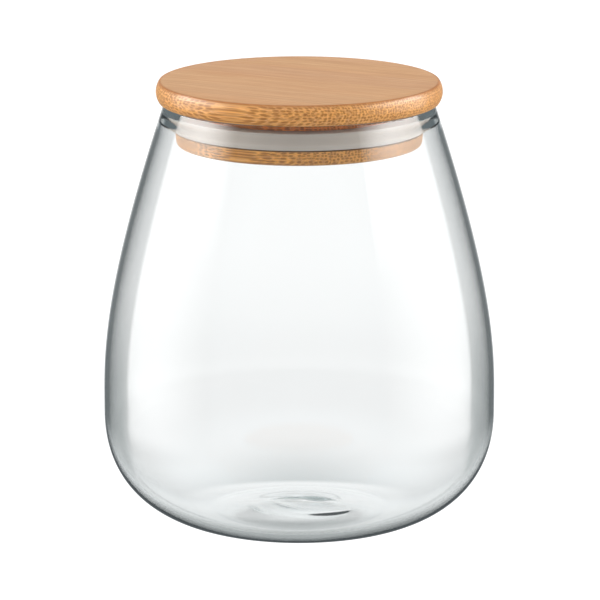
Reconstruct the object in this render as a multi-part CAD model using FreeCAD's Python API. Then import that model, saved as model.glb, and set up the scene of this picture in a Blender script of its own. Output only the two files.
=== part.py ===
import FreeCAD, Part
import math
import os

# Lidded glass canister: a blown glass jar, and a turned bamboo lid that plugs its mouth
# through a silicone seal. Millimetres, +Z up, origin at the centre of the foot, on the table.

# Glass jar, outside
JAR_HEIGHT = 163.9          # foot to the top of the rim
BELLY_RADIUS = 75.0         # the widest ring
BELLY_HEIGHT = 43.8         # height of the widest ring
FOOT_RADIUS = 34.0          # outer edge of the flat ring that the jar stands on
FOOT_RING_WIDTH = 7.0       # how wide that flat ring is
PUSH_UP = 1.6               # rise of the hollow under the base
MOUTH_RADIUS = 49.3         # clear radius inside the rim
MOUTH_BORE = 2.95           # height of the short round bore under the rim's bead, for the seal

# Glass jar, walls
SIDE_WALL = 1.8
RIM_WALL = 2.3              # diameter of the fire-polished bead round the rim
BORE_SWELL = 2.2            # height over which the wall thickens inwards up to that bore
BORE_SWELL_PULL = 0.9       # how far the swell runs straight before it bends
BASE_WALL = 2.4             # glass above the flat ring
FLOOR_RISE = 1.2            # extra rise of the floor at its centre, over the push-up

# Curvature of the jar's side: how far each curve runs straight before it bends
HEEL_PULL = 3.0             # outwards from the foot
BELLY_PULL_DOWN = 40.0      # down from the belly
BELLY_PULL_UP = 20.0        # up from the belly
SHOULDER_PULL = 80.0        # down along the leaning wall from the rim
RIM_LEAN = 18.2             # degrees that the wall leans in at the rim

# Bamboo lid: three plies of glued strips, turned round
LID_OVERHANG = 3.0          # the disc past the outside of the rim
DISC_THICKNESS = 8.0
DISC_BULGE = 1.35           # how far the turned edge swells between its two corners
DISC_EASE = 0.5             # rounding of those corners
CORE_THICKNESS = 10.9       # the ply with the groove that the seal is stretched into
CORE_INSET = 5.3            # the groove's floor inside the mouth's radius
COLLAR_THICKNESS = 3.6      # the part of the core above the groove
PLUG_THICKNESS = 5.5        # the lip below the seal
PLUG_INSET = 2.6            # the lip and the collar inside the mouth's radius
PLUG_ROUND = 1.5            # rounding of the lip's lower edge

# Strips that the plies are glued from
STRIP_WIDTH = 21.0
DISC_STRIPS = 6
CORE_STRIPS = 5
PLUG_STRIPS = 5
DISC_GLUE_SHIFT = 2.0       # the middle of the disc's row of strips off the lid's centre
CORE_GLUE_SHIFT = 3.0
PLUG_GLUE_SHIFT = -3.0
GRAIN_TURN = -28.0          # degrees from +X to the grain of the bamboo

# Silicone seal
SEAL_FIT = 0.05             # between the seal's widest edge and the glass
SEAL_SEAT = 0.1             # between the seal's bore and the core
SEAL_HEAD_GAP = 0.1         # between the seal and the collar above it
SEAL_FOOT_GAP = 0.4         # between the seal and the lip below it
SEAL_FLARE = 2.4            # how far the skirt widens from its foot to its top
SEAL_BAND = 0.4             # height of the straight band at its top
SEAL_EDGE = 0.5             # rounding of the skirt's foot
RIM_GAP = 0.1               # between the disc and the glass rim

# Worked out from the sizes above
RIM_OUTER_RADIUS = MOUTH_RADIUS + RIM_WALL
DISC_RADIUS = RIM_OUTER_RADIUS + LID_OVERHANG
DISC_BOTTOM = JAR_HEIGHT + RIM_GAP
COLLAR_BOTTOM = DISC_BOTTOM - COLLAR_THICKNESS
CORE_BOTTOM = DISC_BOTTOM - CORE_THICKNESS
PLUG_BOTTOM = CORE_BOTTOM - PLUG_THICKNESS
CORE_RADIUS = MOUTH_RADIUS - CORE_INSET
PLUG_RADIUS = MOUTH_RADIUS - PLUG_INSET

AXIS = FreeCAD.Vector(0, 0, 1)
CENTRE = FreeCAD.Vector(0, 0, 0)


def point(radius, height):
    return FreeCAD.Vector(radius, 0, height)


def line(start, end):
    return Part.makeLine(start, end)


def bezier(*poles):
    """A Bezier that leaves and arrives along its end poles."""
    made = Part.BezierCurve()
    made.setPoles(list(poles))
    return made


def curve(*poles):
    return bezier(*poles).toShape()


def below(rising, height):
    """The part of a rising Bezier below a height."""
    low, high = 0.0, 1.0
    for _ in range(50):
        middle = (low + high) / 2
        if rising.value(middle).z < height:
            low = middle
        else:
            high = middle
    rising.segment(0, low)
    return rising


def arc(start, middle, end):
    return Part.Arc(start, middle, end).toShape()


def turned(edges):
    """The solid that a closed half outline sweeps round the lid's and the jar's axis."""
    face = Part.Face(Part.Wire(edges))
    return face.revolve(CENTRE, AXIS, 360)


def glass_jar():
    lean = math.radians(RIM_LEAN)
    bead = RIM_WALL / 2
    bead_radius = MOUTH_RADIUS + bead
    bead_height = JAR_HEIGHT - bead

    def on_bead(angle):
        return point(bead_radius + bead * math.cos(angle), bead_height + bead * math.sin(angle))

    def side_up(belly_radius, rim_end):
        """The wall from the belly to the rim, outside or inside."""
        return bezier(
            point(belly_radius, BELLY_HEIGHT),
            point(belly_radius, BELLY_HEIGHT + BELLY_PULL_UP),
            rim_end + point(SHOULDER_PULL * math.sin(lean), -SHOULDER_PULL * math.cos(lean)),
            rim_end,
        )

    def side_down(belly_radius, foot_radius, foot_height):
        """The wall from the foot or the floor up to the belly."""
        return curve(
            point(foot_radius, foot_height),
            point(foot_radius + HEEL_PULL, foot_height),
            point(belly_radius, BELLY_HEIGHT - BELLY_PULL_DOWN + foot_height),
            point(belly_radius, BELLY_HEIGHT),
        )

    def dome(radius, edge_height, centre_height):
        """A shallow rise from a ring to the axis, level at both ends."""
        return curve(
            point(radius, edge_height),
            point(radius / 2, edge_height),
            point(radius / 2, centre_height),
            point(0, centre_height),
        )

    ring_inner = FOOT_RADIUS - FOOT_RING_WIDTH
    floor_centre = PUSH_UP + BASE_WALL + FLOOR_RISE
    inner_belly = BELLY_RADIUS - SIDE_WALL
    outer_end = on_bead(lean)
    inner_end = on_bead(math.pi)
    bore_end = inner_end - point(0, MOUTH_BORE)
    wall_end = outer_end - point(SIDE_WALL * math.cos(lean), SIDE_WALL * math.sin(lean))
    inner_wall = below(side_up(inner_belly, wall_end), bore_end.z - BORE_SWELL)
    swell_foot = inner_wall.EndPoint
    return turned([
        dome(ring_inner, 0, PUSH_UP),
        line(point(ring_inner, 0), point(FOOT_RADIUS, 0)),
        side_down(BELLY_RADIUS, FOOT_RADIUS, 0),
        side_up(BELLY_RADIUS, outer_end).toShape(),
        arc(outer_end, on_bead((lean + math.pi) / 2), inner_end),
        line(inner_end, bore_end),
        curve(
            bore_end,
            bore_end - point(0, BORE_SWELL_PULL),
            swell_foot + point(-BORE_SWELL_PULL * math.sin(lean),
                               BORE_SWELL_PULL * math.cos(lean)),
            swell_foot,
        ),
        inner_wall.toShape(),
        side_down(inner_belly, FOOT_RADIUS, BASE_WALL),
        dome(FOOT_RADIUS, BASE_WALL, floor_centre),
        line(point(0, PUSH_UP), point(0, floor_centre)),
    ])


def silicone_seal():
    """A ring in the lid's groove, with a skirt that widens up to the bore under the rim."""
    bore = CORE_RADIUS + SEAL_SEAT
    top = COLLAR_BOTTOM - SEAL_HEAD_GAP
    foot = CORE_BOTTOM + SEAL_FOOT_GAP
    widest = MOUTH_RADIUS - SEAL_FIT
    widest_height = top - SEAL_BAND
    skirt_foot = widest - SEAL_FLARE
    slope = SEAL_EDGE * SEAL_FLARE / (widest_height - foot)
    corner = SEAL_EDGE * (1 - math.sqrt(0.5))
    return turned([
        line(point(bore, foot), point(skirt_foot - SEAL_EDGE, foot)),
        arc(point(skirt_foot - SEAL_EDGE, foot),
            point(skirt_foot - corner, foot + corner),
            point(skirt_foot + slope, foot + SEAL_EDGE)),
        line(point(skirt_foot + slope, foot + SEAL_EDGE), point(widest, widest_height)),
        line(point(widest, widest_height), point(widest, top)),
        line(point(widest, top), point(bore, top)),
        line(point(bore, top), point(bore, foot)),
    ])


def disc_ply():
    """The lid's top, with a barrel-shaped edge."""
    top = DISC_BOTTOM + DISC_THICKNESS
    corner_radius = DISC_RADIUS - DISC_BULGE
    lower_corner = point(corner_radius, DISC_BOTTOM)
    upper_corner = point(corner_radius, top)
    disc = turned([
        line(point(0, DISC_BOTTOM), lower_corner),
        arc(lower_corner, point(DISC_RADIUS, (DISC_BOTTOM + top) / 2), upper_corner),
        line(upper_corner, point(0, top)),
        line(point(0, top), point(0, DISC_BOTTOM)),
    ])
    return disc.makeFillet(DISC_EASE, rings(disc, [DISC_BOTTOM, top]))


def core_ply():
    """The groove's floor, and the collar above it."""
    corners = [
        (0, CORE_BOTTOM), (CORE_RADIUS, CORE_BOTTOM), (CORE_RADIUS, COLLAR_BOTTOM),
        (PLUG_RADIUS, COLLAR_BOTTOM), (PLUG_RADIUS, DISC_BOTTOM), (0, DISC_BOTTOM),
    ]
    ring = corners[1:] + corners[:1]
    return turned([line(point(*start), point(*end)) for start, end in zip(corners, ring)])


def plug_ply():
    """The lip that holds the seal up in the mouth."""
    plug = Part.makeCylinder(PLUG_RADIUS, PLUG_THICKNESS, point(0, PLUG_BOTTOM))
    return plug.makeFillet(PLUG_ROUND, rings(plug, [PLUG_BOTTOM]))


def rings(solid, heights):
    """The round edges of a turned solid at the given heights."""
    return [
        edge for edge in solid.Edges
        if isinstance(edge.Curve, Part.Circle)
        and any(abs(edge.CenterOfMass.z - height) < 1e-6 for height in heights)
    ]


def strips(ply, count, glue_shift, grain_turn):
    """Cut a ply along its glue lines; the outermost strips run out to its edge."""
    box = ply.BoundBox
    reach = box.DiagonalLength
    glue_lines = [glue_shift + (index - count / 2) * STRIP_WIDTH for index in range(1, count)]
    sides = [-reach] + glue_lines + [reach]
    pieces = []
    for near, far in zip(sides[:-1], sides[1:]):
        blank = Part.makeBox(2 * reach, far - near, 2 * reach,
                             FreeCAD.Vector(-reach, near, box.Center.z - reach))
        blank.rotate(CENTRE, AXIS, grain_turn)
        pieces.append(ply.common(blank).Solids[0])
    return pieces


parts = {"glass_jar": glass_jar(), "silicone_seal": silicone_seal()}
plies = {
    "lid_disc_strip": strips(disc_ply(), DISC_STRIPS, DISC_GLUE_SHIFT, GRAIN_TURN),
    "lid_core_strip": strips(core_ply(), CORE_STRIPS, CORE_GLUE_SHIFT, GRAIN_TURN),
    "lid_plug_strip": strips(plug_ply(), PLUG_STRIPS, PLUG_GLUE_SHIFT, GRAIN_TURN),
}
for name, pieces in plies.items():
    for number, piece in enumerate(pieces, start=1):
        parts[f"{name}_{number}"] = piece

os.makedirs("parts", exist_ok=True)
for node, shape in parts.items():
    shape.exportStep(f"parts/{node}.step")
    box = shape.BoundBox
    print(f"{node}: {shape.ShapeType} valid={shape.isValid()} volume={shape.Volume:.1f} "
          f"z {box.ZMin:.2f} to {box.ZMax:.2f}")
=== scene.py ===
import math

import bmesh
import bpy
from mathutils import Matrix, Vector


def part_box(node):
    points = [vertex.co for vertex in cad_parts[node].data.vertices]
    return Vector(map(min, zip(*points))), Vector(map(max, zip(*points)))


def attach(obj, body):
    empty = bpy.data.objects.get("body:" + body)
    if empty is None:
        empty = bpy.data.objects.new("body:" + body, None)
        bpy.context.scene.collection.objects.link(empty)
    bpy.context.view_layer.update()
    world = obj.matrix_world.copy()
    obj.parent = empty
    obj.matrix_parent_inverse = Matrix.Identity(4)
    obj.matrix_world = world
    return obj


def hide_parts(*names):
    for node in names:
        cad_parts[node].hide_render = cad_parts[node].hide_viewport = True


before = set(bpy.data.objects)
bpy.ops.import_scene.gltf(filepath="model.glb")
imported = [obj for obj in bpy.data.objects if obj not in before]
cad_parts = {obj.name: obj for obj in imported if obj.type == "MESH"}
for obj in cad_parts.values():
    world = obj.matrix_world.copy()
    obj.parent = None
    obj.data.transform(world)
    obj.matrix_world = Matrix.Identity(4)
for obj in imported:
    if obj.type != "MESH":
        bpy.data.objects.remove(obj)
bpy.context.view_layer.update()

# A lidded glass canister: a blown jar, and a turned bamboo lid that plugs its mouth through
# a silicone seal. Metres, +Z up, origin at the centre of the jar's foot.

MM = 0.001


def strips_of(ply):
    """The CAD strips of one of the lid's plies, in order across the grain."""
    return sorted(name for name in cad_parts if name.startswith(f"lid_{ply}_strip"))


def heights_of(node):
    """The heights of a CAD node's bottom and top."""
    low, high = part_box(node)
    return low.z, high.z


# The lid's pieces, and the heights at which they lie
DISC_NODES = strips_of("disc")
CORE_NODES = strips_of("core")
PLUG_NODES = strips_of("plug")
DISC_BOTTOM, DISC_TOP = heights_of(DISC_NODES[0])
CORE_BOTTOM = heights_of(CORE_NODES[0])[0]
PLUG_BOTTOM = heights_of(PLUG_NODES[0])[0]
SEAL_BOTTOM, SEAL_TOP = heights_of("silicone_seal")

# The lid's radii, and the room round the seal in its groove
DISC_RADIUS = 54.6 * MM
CORE_RADIUS = 44.0 * MM
PLUG_RADIUS = 46.7 * MM
SEAL_RADIUS = 49.25 * MM
SEAL_ROOM = 0.1 * MM
SEAL_BORE = CORE_RADIUS + SEAL_ROOM
COLLAR_BOTTOM = SEAL_TOP + SEAL_ROOM

# The jar's curves, as it was blown
RIM_HEIGHT = 163.9 * MM
BELLY_RADIUS = 75.0 * MM
BELLY_HEIGHT = 43.8 * MM
FOOT_RADIUS = 34.0 * MM
FOOT_RING_WIDTH = 7.0 * MM
PUSH_UP = 1.6 * MM
MOUTH_RADIUS = 49.3 * MM
MOUTH_BORE = 2.95 * MM
BORE_SWELL = 2.2 * MM
BORE_SWELL_PULL = 0.9 * MM
SIDE_WALL = 1.8 * MM
RIM_WALL = 2.3 * MM
BASE_WALL = 2.4 * MM
FLOOR_RISE = 1.2 * MM
HEEL_PULL = 3.0 * MM
BELLY_PULL_DOWN = 40.0 * MM
BELLY_PULL_UP = 20.0 * MM
SHOULDER_PULL = 80.0 * MM
RIM_LEAN = math.radians(18.2)
SWIRL_X = 4.0 * MM
SWIRL_Y = 3.0 * MM

# The lid's turned edges
DISC_BULGE = 1.35 * MM
DISC_EASE = 0.5 * MM
CORE_EASE = 0.2 * MM
PLUG_EASE = 0.2 * MM
PLUG_ROUND = 1.5 * MM

# The seal's skirt, its rounded foot and its lip
SEAL_FLARE = 2.4 * MM
SEAL_BAND = 0.4 * MM
SEAL_EDGE = 0.5 * MM
SEAL_LIP = 0.15 * MM

# The lid's grain and the places of its glue lines
STRIP_WIDTH = 21.0 * MM
GRAIN_TURN = math.radians(-28.0)
DISC_GLUE_SHIFT = 2.0 * MM
CORE_GLUE_SHIFT = 3.0 * MM
PLUG_GLUE_SHIFT = -3.0 * MM
SEED_STEP = 7.31

# Tones of bamboo, in linear light
END_GRAIN = (0.83, 0.39, 0.086)
FACE_GRAIN = (0.46, 0.254, 0.122)
CLOUD = (0.72, 0.43, 0.20)
DARK_STREAK = (0.46, 0.215, 0.085)
DARK_FIBRE = (0.42, 0.20, 0.08)
PALE_FIBRE = (0.80, 0.51, 0.27)
BUNDLE = (0.28, 0.09, 0.012)
GLUE = (0.30, 0.13, 0.045)
# A darker ring round the corner of the top
CORNER_RING_DARK = (0.36, 0.12, 0.02)

# Tones of the studio: the panels at the sides; the table as the eye sees it; the table
# through the glass: painted shade near the jar, far off, its painted shadow, a painted pool
# of light under its foot and painted grey shade beside it; and what the glass mirrors,
# which is the table near, far off and at the foot, and the room
BLACK = (0.0, 0.0, 0.0)
WHITE = (1.0, 1.0, 1.0)
PANEL_GLOW = (12.4, 12.4, 12.4)
TABLE = (1.05, 1.05, 1.05)
TABLE_SHADED_NEAR = (0.905, 0.905, 0.905)
TABLE_FAR = (0.955, 0.955, 0.955)
TABLE_SHADOW = (0.54, 0.56, 0.56)
TABLE_LIT_UNDER_FOOT = (0.98, 0.98, 0.98)
TABLE_SHADE_ASIDE = (0.58, 0.60, 0.60)
MIRRORED_NEAR = (0.85, 0.87, 0.87)
MIRRORED_FAR = (0.10, 0.11, 0.11)
MIRRORED_FOOT = (0.42, 0.44, 0.44)
MIRRORED_ROOM = (0.82, 0.94, 1.0)

# Sizes and places in the studio
TABLE_RADIUS = 3.0
TABLE_RINGS = (1.0, 0.2, 1 / 15, 0.0)
TABLE_DROP = 0.3 * MM
SHADOW_WIDE = 56.0 * MM
SHADOW_DEEP = 125.0 * MM
SHADOW_BACK = 12.0 * MM
SPOT_WIDE = 44.0 * MM
SPOT_DEEP = 32.0 * MM
SPOT_BACK = 14.0 * MM
ASIDE_START = 68.0 * MM
PANEL_DISTANCE = 1.1
PANEL_ANGLE = math.radians(86)
PANEL_SPREAD = math.radians(70)
PANEL_FOOT = -0.5
PANEL_TOP = 0.9
PANEL_FULL = 0.4
LAMP_PLACE = (0, -0.4, 1.2)
LAMP_AIM = (0, 0, 0.1)
LAMP_SIZE = 0.8
LAMP_GLOW = 1.2
CAMERA_PLACE = (0, -2.0, 0.5304)
CAMERA_AIM = (0, 0, 0.08644)
CAMERA_LENS = 320.5
CAMERA_SHIFT = 0.0012

ROUND_STEPS = 256


# ---------------------------------------------------------------- turned and blown shapes

def curve(p0, p1, p2, p3, steps):
    """Points along a cubic Bezier, its start left out."""
    points = []
    for step in range(1, steps + 1):
        t = step / steps
        s = 1 - t
        points.append(tuple(
            s ** 3 * a + 3 * s * s * t * b + 3 * s * t * t * c + t ** 3 * d
            for a, b, c, d in zip(p0, p1, p2, p3)
        ))
    return points


def arc(centre, radius, start, end, steps):
    """Points along an arc between two angles, its start left out."""
    angles = [start + (end - start) * step / steps for step in range(1, steps + 1)]
    return [(centre[0] + radius * math.cos(a), centre[1] + radius * math.sin(a)) for a in angles]


def straight(start, end, steps):
    """Points along a line, its start left out."""
    return [
        tuple(a + (b - a) * step / steps for a, b in zip(start, end))
        for step in range(1, steps + 1)
    ]


def turn(outline):
    """A bmesh that a list of (radius, height) points sweeps round the axis."""
    shape = bmesh.new()
    angles = [2 * math.pi * step / ROUND_STEPS for step in range(ROUND_STEPS)]
    rings = []
    for radius, height in outline:
        if radius < 1e-7:
            rings.append([shape.verts.new((0, 0, height))])
            continue
        rings.append([
            shape.verts.new((radius * math.cos(a), radius * math.sin(a), height)) for a in angles
        ])
    closed = len(rings[0]) > 1
    pairs = list(zip(rings, rings[1:])) + ([(rings[-1], rings[0])] if closed else [])
    for near, far in pairs:
        for step in range(ROUND_STEPS):
            after = (step + 1) % ROUND_STEPS
            corners = [near[step % len(near)], near[after % len(near)],
                       far[after % len(far)], far[step % len(far)]]
            shape.faces.new(list(dict.fromkeys(corners)))
    bmesh.ops.recalc_face_normals(shape, faces=shape.faces)
    return shape


def finished(shape, name, material, body, nodes, sharp_angle=math.radians(40)):
    """Makes a bmesh a shown piece that stands for CAD nodes and rides on their body.

    It is shaded smooth except where its faces meet at more than sharp_angle.
    """
    mesh = bpy.data.meshes.new(name)
    for face in shape.faces:
        face.smooth = True
    for edge in shape.edges:
        if len(edge.link_faces) == 2 and edge.calc_face_angle() > sharp_angle:
            edge.smooth = False
    shape.to_mesh(mesh)
    shape.free()
    piece = bpy.data.objects.new(name, mesh)
    bpy.context.scene.collection.objects.link(piece)
    piece.data.materials.append(material)
    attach(piece, body)
    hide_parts(*nodes)
    return piece


# ---------------------------------------------------------------- shader sums

class Shade:
    """One socket of a finish, which can be added to, multiplied and so on."""

    def __init__(self, finish, socket):
        self.finish = finish
        self.socket = socket

    def sum(self, operation, *values):
        return self.finish.node("ShaderNodeMath", dict(enumerate(values)), operation=operation)

    def __add__(self, other):
        return self.sum("ADD", self, other)

    def __sub__(self, other):
        return self.sum("SUBTRACT", self, other)

    def __rsub__(self, other):
        return self.sum("SUBTRACT", other, self)

    def __mul__(self, other):
        return self.sum("MULTIPLY", self, other)

    def __truediv__(self, other):
        return self.sum("DIVIDE", self, other)

    def __pow__(self, other):
        return self.sum("POWER", self, other)

    def __abs__(self):
        return self.sum("ABSOLUTE", self)

    __radd__ = __add__
    __rmul__ = __mul__

    def least(self, other):
        return self.sum("MINIMUM", self, other)

    def most(self, other):
        return self.sum("MAXIMUM", self, other)

    def rise(self, low, high):
        """0 below low, 1 above high and smooth between them; low may be the larger."""
        return self.finish.node(
            "ShaderNodeMapRange",
            {"Value": self, "From Min": low, "From Max": high},
            interpolation_type="SMOOTHSTEP",
        )


class Finish:
    """A material or a world in the making."""

    def __init__(self, name, owner=None):
        self.owner = owner or bpy.data.materials.new(name)
        self.owner.use_nodes = True
        self.tree = self.owner.node_tree
        self.tree.nodes.clear()

    def node(self, kind, sockets=None, output=0, **settings):
        """Adds a node: its settings first, then the values or links of its sockets."""
        made = self.tree.nodes.new(kind)
        for name, value in settings.items():
            setattr(made, name, value)
        for name, value in (sockets or {}).items():
            socket = made.inputs[name]
            if isinstance(value, Shade):
                self.tree.links.new(value.socket, socket)
            else:
                socket.default_value = value
        return Shade(self, made.outputs[output])

    def blend(self, factor, first, second):
        """A mix of two colours. Colours are Shades or (r, g, b) in linear light."""
        colours = [c if isinstance(c, Shade) else (*c, 1) for c in (first, second)]
        return self.node(
            "ShaderNodeMix",
            {0: factor, 6: colours[0], 7: colours[1]},
            output=2, data_type="RGBA",
        )

    def parts_of(self, vector):
        """The three numbers of a vector."""
        split = self.node("ShaderNodeSeparateXYZ", {0: vector})
        return [Shade(self, socket) for socket in split.socket.node.outputs]

    def joined(self, x, y, z):
        return self.node("ShaderNodeCombineXYZ", {0: x, 1: y, 2: z})

    def length(self, x, y):
        """How far a spot lies from the middle."""
        spot = self.joined(x, y, 0.0)
        return self.node("ShaderNodeVectorMath", {0: spot}, output=1, operation="LENGTH")

    def cast(self, vector, scale, detail=2.0, roughness=0.5):
        """Soft noise from about 0 to 1."""
        return self.node(
            "ShaderNodeTexNoise",
            {"Vector": vector, "Scale": scale, "Detail": detail, "Roughness": roughness},
        )

    def shine(self, kind, sockets, volume=None):
        """Ends the finish with a surface shader and, in glass, what fills it."""
        shader = self.node(kind, sockets)
        end = self.tree.nodes.new("ShaderNodeOutputWorld" if kind == "ShaderNodeBackground"
                                  else "ShaderNodeOutputMaterial")
        self.tree.links.new(shader.socket, end.inputs["Surface"])
        if volume:
            self.tree.links.new(volume.socket, end.inputs["Volume"])
        return self.owner


# ---------------------------------------------------------------- finishes

def clear_glass():
    """Soda-lime glass, faintly grey-green, with the slow waves of blown work."""
    finish = Finish("clear_glass")
    place = finish.node("ShaderNodeTexCoord", output=3)
    waves = finish.cast(place, 22.0, detail=1.0)
    bump = finish.node(
        "ShaderNodeBump", {"Strength": 0.35, "Distance": 0.25 * MM, "Height": waves}
    )
    volume = finish.node(
        "ShaderNodeVolumeAbsorption", {"Color": (0.55, 0.80, 0.78, 1), "Density": 16.0}
    )
    return finish.shine("ShaderNodeBsdfPrincipled", {
        "Base Color": (1, 1, 1, 1),
        "Roughness": 0.0,
        "IOR": 1.5,
        "Transmission Weight": 1.0,
        "Normal": bump,
    }, volume)


def milky_silicone():
    """Translucent white rubber with a fine moulded tooth."""
    finish = Finish("milky_silicone")
    place = finish.node("ShaderNodeTexCoord", output=3)
    cloud = finish.cast(place, 90.0, detail=3.0)
    tooth = finish.cast(place, 4200.0, detail=1.0)
    colour = finish.blend(cloud, (0.55, 0.49, 0.435), (0.61, 0.55, 0.495))
    bump = finish.node(
        "ShaderNodeBump", {"Strength": 0.08, "Distance": 0.03 * MM, "Height": tooth}
    )
    return finish.shine("ShaderNodeBsdfPrincipled", {
        "Base Color": colour,
        "Roughness": 0.34 + 0.1 * cloud,
        "Subsurface Weight": 0.35,
        "Subsurface Radius": (1.0, 0.9, 0.8),
        "Subsurface Scale": 2.0 * MM,
        "IOR": 1.41,
        "Normal": bump,
    })


def bamboo(name, seed, tint, low, high, glue_lines, corner=None):
    """Flat bamboo strip: ground tissue, vascular bundles along the grain, satin oil.

    low and high are the ply's bottom and top; the dense outer side of the culm is up.
    glue_lines are the strip's glued sides, measured across the grain. corner is the radius
    and the height of a corner that is darkened in a ring.
    """
    finish = Finish(name)
    place = finish.node("ShaderNodeTexCoord", output=3)
    lie = finish.node(
        "ShaderNodeVectorRotate", {"Vector": place, "Angle": -GRAIN_TURN},
        rotation_type="Z_AXIS",
    )
    along, across, up = finish.parts_of(lie)
    facing = finish.node("ShaderNodeNewGeometry", output=1)
    flat = abs(finish.parts_of(facing)[2]) ** 2.0
    rise = (up - low) / (high - low)

    # Bundles: about a millimetre apart in the strip's section, and running along the grain.
    # They are closer together towards the outer side of the culm.
    wander = finish.cast(finish.joined(along * 24.0 + seed, across * 60.0, up * 60.0), 1.0)
    drift = (wander - 0.5) * (2.4 * MM)

    def bundles(spacing, size):
        cells = finish.node(
            "ShaderNodeTexVoronoi",
            {"Vector": finish.joined((across + drift) / spacing + seed,
                                     (up + drift * 0.7) / spacing + seed, 0.0),
             "Scale": 1.0, "Randomness": 0.55},
            voronoi_dimensions="2D", feature="F1",
        )
        return cells.rise(size, size * 0.45)

    outer = rise.rise(0.1, 0.95)
    dark = (bundles(1.2 * MM, 0.46) * (1 - outer)
            + bundles(0.98 * MM, 0.5) * (0.2 + 0.8 * outer)).least(1.0)
    dark = dark * (1.0 - 0.72 * flat)

    # Fibres and slow clouds of tone along the strip
    fibre = finish.cast(
        finish.joined(along * 40.0, across * 2600.0 + seed, up * 2600.0), 1.0,
        detail=3.0, roughness=0.6)
    streak = finish.cast(
        finish.joined(along * 14.0 + seed, across * 700.0, up * 700.0), 1.0, detail=3.0)
    cloud = finish.cast(
        finish.joined(along * 16.0 + seed, across * 70.0 + seed, up * 90.0), 1.0, detail=2.0)

    end_tone = [channel * share for channel, share in zip(END_GRAIN, tint)]
    face_tone = [channel * share for channel, share in zip(FACE_GRAIN, tint)]
    ground = finish.blend(flat, end_tone, face_tone)
    colour = finish.blend(cloud.rise(0.2, 0.8) * 0.22, ground, CLOUD)
    colour = finish.blend((streak - 0.42).most(0.0) * 2.2, colour, DARK_STREAK)
    colour = finish.blend(fibre.rise(0.45, 0.75) * 0.55, colour, DARK_FIBRE)
    colour = finish.blend(fibre.rise(0.5, 0.25) * 0.5, colour, PALE_FIBRE)
    colour = finish.blend(dark * 0.78, colour, BUNDLE)

    # Glue lines at the strip's sides
    for side in glue_lines:
        line = abs(across - side).rise(0.25 * MM, 0.05 * MM)
        colour = finish.blend(line * 0.3, colour, GLUE)

    # A darker ring round the corner between the top and the turned edge
    if corner:
        radius = finish.length(along, across)
        near = abs(radius - corner[0]).rise(1.0 * MM, 0.2 * MM)
        near = near * abs(up - corner[1]).rise(1.5 * MM, 0.3 * MM)
        colour = finish.blend(near * 0.7, colour, CORNER_RING_DARK)

    height = fibre * 0.5 + (1 - dark) * 0.5
    bump = finish.node(
        "ShaderNodeBump", {"Strength": 0.35, "Distance": 0.05 * MM, "Height": height})
    return finish.shine("ShaderNodeBsdfPrincipled", {
        "Base Color": colour,
        "Roughness": 0.46 + 0.12 * fibre,
        "Specular IOR Level": 0.35,
        "Coat Weight": 0.5 - 0.45 * flat,
        "Coat Roughness": 0.22,
        "Normal": bump,
    })


# ---------------------------------------------------------------- the jar

def jar_outline():
    """The jar's half section, from the axis under the base round to the axis on the floor."""
    bead = RIM_WALL / 2
    bead_centre = (MOUTH_RADIUS + bead, RIM_HEIGHT - bead)
    lean = (math.sin(RIM_LEAN) * SHOULDER_PULL, -math.cos(RIM_LEAN) * SHOULDER_PULL)

    def side_up(belly, rim_end, steps):
        return curve(
            (belly, BELLY_HEIGHT), (belly, BELLY_HEIGHT + BELLY_PULL_UP),
            (rim_end[0] + lean[0], rim_end[1] + lean[1]), rim_end, steps)

    def side_down(belly, foot, foot_height, steps):
        return curve(
            (foot, foot_height), (foot + HEEL_PULL, foot_height),
            (belly, BELLY_HEIGHT - BELLY_PULL_DOWN + foot_height), (belly, BELLY_HEIGHT), steps)

    def dome(radius, edge, centre, steps):
        return curve((0, centre), (radius / 2, centre), (radius / 2, edge), (radius, edge), steps)

    ring_inner = FOOT_RADIUS - FOOT_RING_WIDTH
    floor_centre = PUSH_UP + BASE_WALL + FLOOR_RISE
    inner_belly = BELLY_RADIUS - SIDE_WALL
    outer_end = arc(bead_centre, bead, 0, RIM_LEAN, 1)[0]
    bore_end = (MOUTH_RADIUS, bead_centre[1] - MOUTH_BORE)
    wall_end = (outer_end[0] - SIDE_WALL * math.cos(RIM_LEAN),
                outer_end[1] - SIDE_WALL * math.sin(RIM_LEAN))
    outline = [(0.0, PUSH_UP)] + dome(ring_inner, 0.0, PUSH_UP, 24)
    outline += straight((ring_inner, 0.0), (FOOT_RADIUS, 0.0), 5)
    outline += side_down(BELLY_RADIUS, FOOT_RADIUS, 0.0, 56)
    outline += side_up(BELLY_RADIUS, outer_end, 60)
    outline += arc(bead_centre, bead, RIM_LEAN, math.pi, 14)
    outline += straight(outline[-1], bore_end, 6)
    inner_side = side_up(inner_belly, wall_end, 68)
    inner_side = [spot for spot in inner_side if spot[1] < bore_end[1] - BORE_SWELL]
    foot = inner_side[-1]
    outline += curve(
        bore_end, (bore_end[0], bore_end[1] - BORE_SWELL_PULL),
        (foot[0] - BORE_SWELL_PULL * math.sin(RIM_LEAN),
         foot[1] + BORE_SWELL_PULL * math.cos(RIM_LEAN)), foot, 12)
    outline += inner_side[-2::-1] + [(inner_belly, BELLY_HEIGHT)]
    outline += side_down(inner_belly, FOOT_RADIUS, BASE_WALL, 56)[-2::-1]
    outline += [(FOOT_RADIUS, BASE_WALL)]
    outline += dome(FOOT_RADIUS, BASE_WALL, floor_centre, 60)[-2::-1] + [(0.0, floor_centre)]
    return outline


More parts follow.
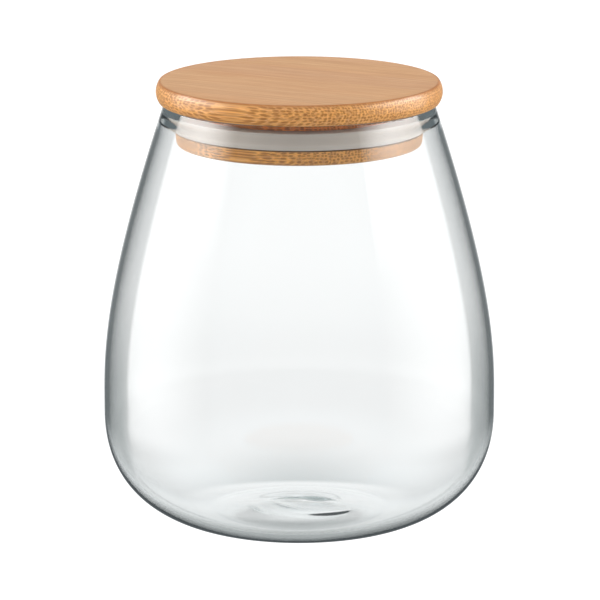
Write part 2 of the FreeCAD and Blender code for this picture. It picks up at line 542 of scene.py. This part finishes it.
def floor_swirl(x, y):
    """The lift of the floor where the gather was pressed and twisted as the jar was blown."""

    def bump(height, at_x, at_y, wide, deep):
        return height * math.exp(-((x - at_x) / wide) ** 2 - ((y - at_y) / deep) ** 2)

    def ridge(height, radius, angle, span, width):
        distance = math.hypot(x - SWIRL_X, y - SWIRL_Y)
        turned = math.atan2(y - SWIRL_Y, x - SWIRL_X)
        swept = math.exp(-((turned - angle) / span) ** 2)
        return height * swept * math.exp(-((distance - radius) / width) ** 2)

    pit = bump(-0.75 * MM, 7.0 * MM, 3.6 * MM, 4.2 * MM, 2.2 * MM)
    lip = bump(0.35 * MM, 6.0 * MM, 8.0 * MM, 7.0 * MM, 2.6 * MM)
    tail = bump(0.30 * MM, -3.0 * MM, 6.6 * MM, 4.0 * MM, 1.1 * MM)
    front = ridge(0.34 * MM, 18.5 * MM, -1.15, 0.42, 1.3 * MM)
    left = ridge(0.12 * MM, 22.0 * MM, -2.75, 0.5, 1.8 * MM)
    inner = ridge(0.10 * MM, 13.0 * MM, -2.5, 0.9, 1.8 * MM)
    return pit + lip + tail + front + left + inner


def make_jar():
    """One blown shell. It darkens nothing by itself: the table top carries its shadow."""
    shape = turn(jar_outline())
    for vertex in shape.verts:
        radius = math.hypot(vertex.co.x, vertex.co.y)
        if radius < FOOT_RADIUS and vertex.co.z > PUSH_UP + 0.5 * BASE_WALL:
            vertex.co.z += floor_swirl(vertex.co.x, vertex.co.y)
    jar = finished(shape, "blown_jar", clear_glass(), "jar", ["glass_jar"],
                   sharp_angle=math.pi)
    jar.visible_shadow = False


# ---------------------------------------------------------------- the seal

def make_seal():
    """A ring whose skirt widens upwards, with a rounded foot and lip."""
    widest_height = SEAL_TOP - SEAL_BAND
    skirt_foot = SEAL_RADIUS - SEAL_FLARE
    slope = SEAL_EDGE * SEAL_FLARE / (widest_height - SEAL_BOTTOM)
    outline = [(SEAL_BORE, SEAL_BOTTOM)]
    outline += straight(outline[-1], (skirt_foot - SEAL_EDGE, SEAL_BOTTOM), 3)
    outline += arc((skirt_foot - SEAL_EDGE, SEAL_BOTTOM + SEAL_EDGE), SEAL_EDGE,
                   -math.pi / 2, 0, 6)
    outline += straight((skirt_foot + slope, SEAL_BOTTOM + SEAL_EDGE),
                        (SEAL_RADIUS, widest_height), 12)
    outline += straight((SEAL_RADIUS, widest_height), (SEAL_RADIUS, SEAL_TOP - SEAL_LIP), 2)
    outline += arc((SEAL_RADIUS - SEAL_LIP, SEAL_TOP - SEAL_LIP), SEAL_LIP, 0, math.pi / 2, 4)
    outline += straight((SEAL_RADIUS - SEAL_LIP, SEAL_TOP), (SEAL_BORE, SEAL_TOP), 3)
    finished(turn(outline), "seal_ring", milky_silicone(), "seal",
             ["silicone_seal"])


# ---------------------------------------------------------------- the bamboo lid

def disc_outline():
    """The top ply's half section: a barrel edge between two eased corners."""
    middle = (DISC_BOTTOM + DISC_TOP) / 2
    half = (DISC_TOP - DISC_BOTTOM) / 2
    bend = (half ** 2 + DISC_BULGE ** 2) / (2 * DISC_BULGE)
    centre = (DISC_RADIUS - bend, middle)
    corner = math.asin((half - DISC_EASE) / (bend - DISC_EASE))
    ease_radius = centre[0] + (bend - DISC_EASE) * math.cos(corner)
    outline = [(0.0, DISC_BOTTOM)] + straight((0, DISC_BOTTOM), (ease_radius, DISC_BOTTOM), 6)
    outline += arc((ease_radius, DISC_BOTTOM + DISC_EASE), DISC_EASE, -math.pi / 2, -corner, 6)
    outline += arc(centre, bend, -corner, corner, 24)
    outline += arc((ease_radius, DISC_TOP - DISC_EASE), DISC_EASE, corner, math.pi / 2, 6)
    outline += straight((ease_radius, DISC_TOP), (0.0, DISC_TOP), 6)
    return outline


def core_outline():
    """The middle ply's half section: the groove's floor and the collar above it."""
    outline = [(0.0, CORE_BOTTOM)] + straight((0, CORE_BOTTOM), (CORE_RADIUS, CORE_BOTTOM), 3)
    outline += straight((CORE_RADIUS, CORE_BOTTOM), (CORE_RADIUS, COLLAR_BOTTOM), 4)
    eased = (PLUG_RADIUS - CORE_EASE, COLLAR_BOTTOM + CORE_EASE)
    outline += straight((CORE_RADIUS, COLLAR_BOTTOM), (eased[0], COLLAR_BOTTOM), 2)
    outline += arc(eased, CORE_EASE, -math.pi / 2, 0, 3)
    outline += straight((PLUG_RADIUS, eased[1]), (PLUG_RADIUS, DISC_BOTTOM), 4)
    return outline + straight((PLUG_RADIUS, DISC_BOTTOM), (0.0, DISC_BOTTOM), 3)


def plug_outline():
    """The lip's half section, with its lower edge rounded over."""
    rounded = (PLUG_RADIUS - PLUG_ROUND, PLUG_BOTTOM + PLUG_ROUND)
    eased = (PLUG_RADIUS - PLUG_EASE, CORE_BOTTOM - PLUG_EASE)
    outline = [(0.0, PLUG_BOTTOM)] + straight((0, PLUG_BOTTOM), (rounded[0], PLUG_BOTTOM), 5)
    outline += arc(rounded, PLUG_ROUND, -math.pi / 2, 0, 10)
    outline += straight((PLUG_RADIUS, rounded[1]), (PLUG_RADIUS, eased[1]), 4)
    outline += arc(eased, PLUG_EASE, 0, math.pi / 2, 3)
    return outline + straight((eased[0], CORE_BOTTOM), (0.0, CORE_BOTTOM), 4)


def cut(shape, side, across, keep_above):
    """Cuts a ply along a glue line and closes the cut."""
    result = bmesh.ops.bisect_plane(
        shape, geom=[*shape.verts, *shape.edges, *shape.faces], dist=1e-7,
        plane_co=across * side, plane_no=across,
        clear_inner=keep_above, clear_outer=not keep_above)
    edges = [item for item in result["geom_cut"] if isinstance(item, bmesh.types.BMEdge)]
    bmesh.ops.edgenet_fill(shape, edges=edges)


def make_ply(kind, outline, nodes, glue_shift, tints, low, high, corner=None):
    """Cuts a turned ply into its strips, each a piece of its own."""
    count = len(nodes)
    across = Matrix.Rotation(GRAIN_TURN, 3, "Z") @ Vector((0, 1, 0))
    sides = [glue_shift + (index - count / 2) * STRIP_WIDTH for index in range(1, count)]
    whole = turn(outline)
    for index, node in enumerate(nodes):
        shape = whole.copy()
        lines = []
        if index > 0:
            cut(shape, sides[index - 1], across, keep_above=True)
            lines.append(sides[index - 1])
        if index < count - 1:
            cut(shape, sides[index], across, keep_above=False)
            lines.append(sides[index])
        bmesh.ops.recalc_face_normals(shape, faces=shape.faces)
        name = f"bamboo_{kind}_{index + 1}"
        finish = bamboo(name, seed=index * SEED_STEP + len(kind), tint=tints[index],
                        low=low, high=high, glue_lines=lines, corner=corner)
        finished(shape, name, finish, "lid", [node])
    whole.free()


def make_lid():
    """Three glued plies: the disc, the core that holds the seal, and the lip under it.

    A tint is a strip's share of red, green and blue. The core's tint is darker and redder:
    painted shade for the recess under the disc's overhang.
    """
    disc_tints = [(1.03, 1.0, 0.97), (1.0, 1.0, 0.98), (1.02, 1.02, 1.0),
                  (0.95, 0.94, 0.99), (0.98, 0.97, 0.92), (1.0, 1.0, 1.0)]
    # The core's darker, redder tint is painted shade under the disc's overhang
    core_shade_tints = [(1.26, 0.68, 0.25)] * len(CORE_NODES)
    plug_tints = [(1.1, 1.06, 0.78), (1.08, 1.05, 0.8), (1.12, 1.08, 0.8),
                  (1.08, 1.05, 0.76), (1.1, 1.08, 0.8)]
    corner = (DISC_RADIUS - DISC_BULGE, DISC_TOP)
    make_ply("top", disc_outline(), DISC_NODES, DISC_GLUE_SHIFT, disc_tints,
             DISC_BOTTOM, DISC_TOP, corner)
    make_ply("core", core_outline(), CORE_NODES, CORE_GLUE_SHIFT, core_shade_tints,
             CORE_BOTTOM, DISC_BOTTOM)
    make_ply("plug", plug_outline(), PLUG_NODES, PLUG_GLUE_SHIFT, plug_tints,
             PLUG_BOTTOM, CORE_BOTTOM)


# ---------------------------------------------------------------- studio

def towards(place, aim):
    """The turn of a lamp or a camera that looks from place at aim."""
    return (Vector(aim) - Vector(place)).to_track_quat("-Z", "Y").to_euler()


def eye_paths(finish):
    """1 or 0 for: seen by the camera, seen straight through glass, mirrored, lighting a piece."""

    def path(output):
        return finish.node("ShaderNodeLightPath", output=output)

    lighting = path("Diffuse Depth").least(1.0)
    mirrored = path("Glossy Depth").least(1.0) * (1 - lighting)
    through = path("Is Transmission Ray") * (1 - lighting) * (1 - mirrored)
    return path("Is Camera Ray"), through, mirrored, lighting


def set_piece(name, shape):
    """Makes a bmesh a piece of the studio."""
    mesh = bpy.data.meshes.new(name)
    shape.to_mesh(mesh)
    shape.free()
    piece = bpy.data.objects.new(name, mesh)
    bpy.context.scene.collection.objects.link(piece)
    return piece


def pale_table():
    """Plain white to the eye. Through the glass it shows tones that draw the jar's form.

    Those are painted light and shade: a soft painted shadow of the jar, painted shade that
    darkens the table near the jar, a painted pool of light under the foot, and painted grey
    shade that starts beside the jar and widens in front of it and behind it.
    """
    finish = Finish("pale_table")
    side, back, _ = finish.parts_of(finish.node("ShaderNodeTexCoord", output=3))
    away = finish.length(side, back)
    camera, _, mirrored, _ = eye_paths(finish)
    # Painted shade: the table is darker near the jar than far off
    glow = finish.blend(away.rise(0.25, 0.55), TABLE_SHADED_NEAR, TABLE_FAR)
    # Painted shadow of the jar, which casts none itself
    shadow = finish.length(side / SHADOW_WIDE, (back - SHADOW_BACK) / SHADOW_DEEP)
    glow = finish.blend(shadow.rise(1.0, 0.0), glow, TABLE_SHADOW)
    # Painted pool of light on the table under the jar's foot
    spot = finish.length(side / SPOT_WIDE, (back - SPOT_BACK) / SPOT_DEEP)
    glow = finish.blend(spot.rise(1.15, 0.9), glow, TABLE_LIT_UNDER_FOOT)
    # Painted grey shade beside the jar, widening in front of it and behind it
    aside = ((abs(side) - ASIDE_START) / (abs(back) + 0.02).most(0.05)).rise(0.035, 0.115)
    aside = aside * away.rise(0.06, 0.1) * away.rise(0.5, 0.17)
    glow = finish.blend(aside, glow, TABLE_SHADE_ASIDE)
    seen_again = finish.blend(away.rise(0.08, 0.22), MIRRORED_NEAR, MIRRORED_FAR)
    seen_again = finish.blend(away.rise(0.07, 0.045), seen_again, MIRRORED_FOOT)
    glow = finish.blend(mirrored, glow, seen_again)
    glow = finish.blend(camera, glow, TABLE)
    return finish.shine("ShaderNodeBsdfPrincipled", {
        "Base Color": (0.1, 0.1, 0.1, 1),
        "Roughness": 0.9,
        "Specular IOR Level": 0.1,
        "Emission Color": glow,
        "Emission Strength": 1.0,
    })


def make_table():
    """A wide round table top, a hair under the jar's foot. It is a sheet laid double."""
    outline = [(share * TABLE_RADIUS, 0.0) for share in TABLE_RINGS]
    table = set_piece("table_top", turn(outline))
    table.location.z = -TABLE_DROP
    table.data.materials.append(pale_table())
    table.visible_glossy = False


def make_world():
    """White behind the set, softer light on the pieces, dim grey in what the glass mirrors."""
    world = bpy.data.worlds.new("studio")
    bpy.context.scene.world = world
    finish = Finish("studio", owner=world)
    camera, through, mirrored, _ = eye_paths(finish)
    unseen = 1 - (camera + through + mirrored).least(1.0)
    _, back, up = finish.parts_of(finish.node("ShaderNodeTexCoord", output=0))
    cloth = back.rise(0.93, 0.99)
    mirror = 0.20 + 0.65 * cloth + 0.6 * up.rise(0.3, 0.8)
    finish.shine("ShaderNodeBackground", {
        "Color": finish.blend(mirrored * (1 - cloth), WHITE, MIRRORED_ROOM),
        "Strength": camera * 1.1 + through * 1.0 + mirrored * mirror + unseen * 0.55,
    })


def glowing_cloth(name, half_wide, side, fade):
    """White light that fades across the cloth, from its side away from the camera.

    PANEL_FULL and fade are the shares of its width, from that side, where the light starts
    to fade and where it is gone. It also fades towards the foot, and is strongest at the top.
    """
    finish = Finish(name)
    across, _, up = finish.parts_of(finish.node("ShaderNodeTexCoord", output=3))
    share = 0.5 + across * (0.5 / half_wide) * side
    light = share.rise(1 - fade, 1 - PANEL_FULL) * share.rise(1.0, 0.9)
    light = light * up.rise(-0.42, -0.12) * (0.25 + 0.75 * up.rise(0.3, 0.6))
    *_, lighting = eye_paths(finish)
    return finish.shine("ShaderNodeEmission", {
        "Color": finish.blend(light * (1 - 0.48 * lighting), BLACK, PANEL_GLOW),
        "Strength": 1.0,
    })


def make_panel(name, side, fade):
    """A tall cloth beside the jar, seen only where the glass and the lid mirror it."""
    half_wide = PANEL_DISTANCE * math.tan(PANEL_SPREAD / 2)
    turned = PANEL_ANGLE * side
    shape = bmesh.new()
    corners = [(-half_wide, PANEL_FOOT), (half_wide, PANEL_FOOT),
               (half_wide, PANEL_TOP), (-half_wide, PANEL_TOP)]
    shape.faces.new([shape.verts.new((x, 0, z)) for x, z in corners])
    cloth = set_piece(name, shape)
    cloth.location = (PANEL_DISTANCE * math.sin(turned), -PANEL_DISTANCE * math.cos(turned), 0)
    cloth.rotation_euler.z = turned
    cloth.data.materials.append(glowing_cloth(name, half_wide, side, fade))
    cloth.visible_camera = False
    cloth.visible_transmission = False
    cloth.visible_shadow = False


def make_lamp():
    """A square lamp overhead that looks down at the lid."""
    light = bpy.data.lights.new("ceiling", "AREA")
    light.shape = "SQUARE"
    light.size = LAMP_SIZE
    light.energy = LAMP_GLOW * math.pi * LAMP_SIZE ** 2
    lamp = bpy.data.objects.new("ceiling", light)
    lamp.location = LAMP_PLACE
    lamp.rotation_euler = towards(LAMP_PLACE, LAMP_AIM)
    lamp.visible_camera = False
    lamp.visible_transmission = False
    bpy.context.scene.collection.objects.link(lamp)


def make_camera():
    """A long lens a little above the lid, looking down on the jar's middle."""
    data = bpy.data.cameras.new("camera")
    camera = bpy.data.objects.new("camera", data)
    bpy.context.scene.collection.objects.link(camera)
    camera.location = CAMERA_PLACE
    camera.rotation_euler = towards(CAMERA_PLACE, CAMERA_AIM)
    data.lens = CAMERA_LENS
    data.sensor_width = 36.0
    data.shift_x = CAMERA_SHIFT
    data.clip_end = 50.0
    bpy.context.scene.camera = camera


make_camera()
make_world()
make_panel("left_panel", side=-1, fade=1.0)
make_panel("right_panel", side=1, fade=1.15)
make_lamp()
make_table()
make_jar()
make_seal()
make_lid()
bpy.context.scene.view_settings.view_transform = "Standard"
